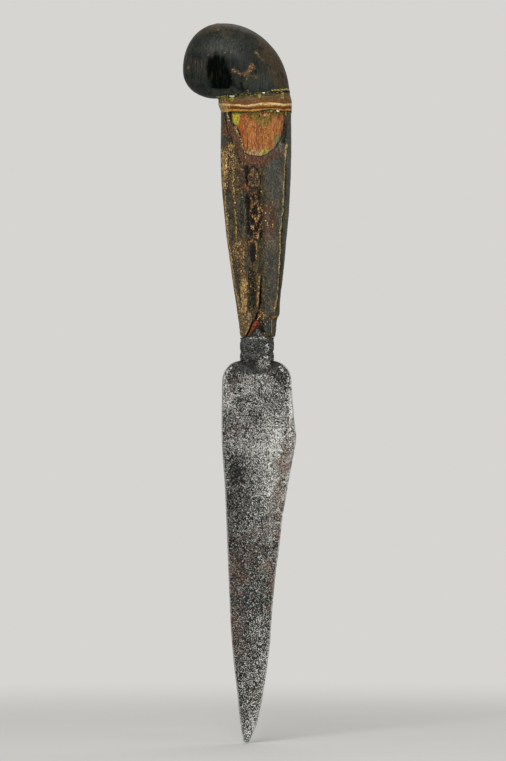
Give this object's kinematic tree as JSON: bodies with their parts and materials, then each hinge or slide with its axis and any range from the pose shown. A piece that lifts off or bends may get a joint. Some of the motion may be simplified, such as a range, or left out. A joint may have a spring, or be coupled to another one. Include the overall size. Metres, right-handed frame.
{
  "type": "hunting knife",
  "caption": "Fixed-blade hunting knife: pitted iron blade and forged neck, tapering grip of horn leaves over a wooden core, stacked spacer band and curled horn pommel.",
  "frame": {"origin": "middle of the grip's length, on the axis of the tang", "axes": "+Z along the tang towards the pommel, -Z towards the point; -X towards the beak of the pommel and the blade's spine; +X towards the cutting edge; -Y the front, the side with the broken patch"},
  "size_m": [0.0453, 0.024, 0.2877],
  "materials": {
    "forged_iron": "pitted, dark, with rust",
    "lac": "dull red resin",
    "core_wood": "bare, reddish, straight grain",
    "grip_horn": "worn brown-black horn",
    "liner_brass": "verdigrised",
    "tan_horn": "satin",
    "brown_horn": "satin",
    "bone": "satin",
    "dark_horn": "satin",
    "pommel_horn": "polished black-green horn with a brown zone"
  },
  "bodies": {
    "root": {"blade": "forged_iron", "tang_lac": "lac", "grip_core": "core_wood", "left_horn_leaf": "grip_horn", "right_horn_leaf": "grip_horn", "lower_liner": "liner_brass", "tan_spacer": "tan_horn", "brown_spacer": "brown_horn", "bone_spacer": "bone", "dark_spacer": "dark_horn", "upper_liner": "liner_brass", "pommel_lac": "lac", "pommel": "pommel_horn"}
  },
  "joints": []
}
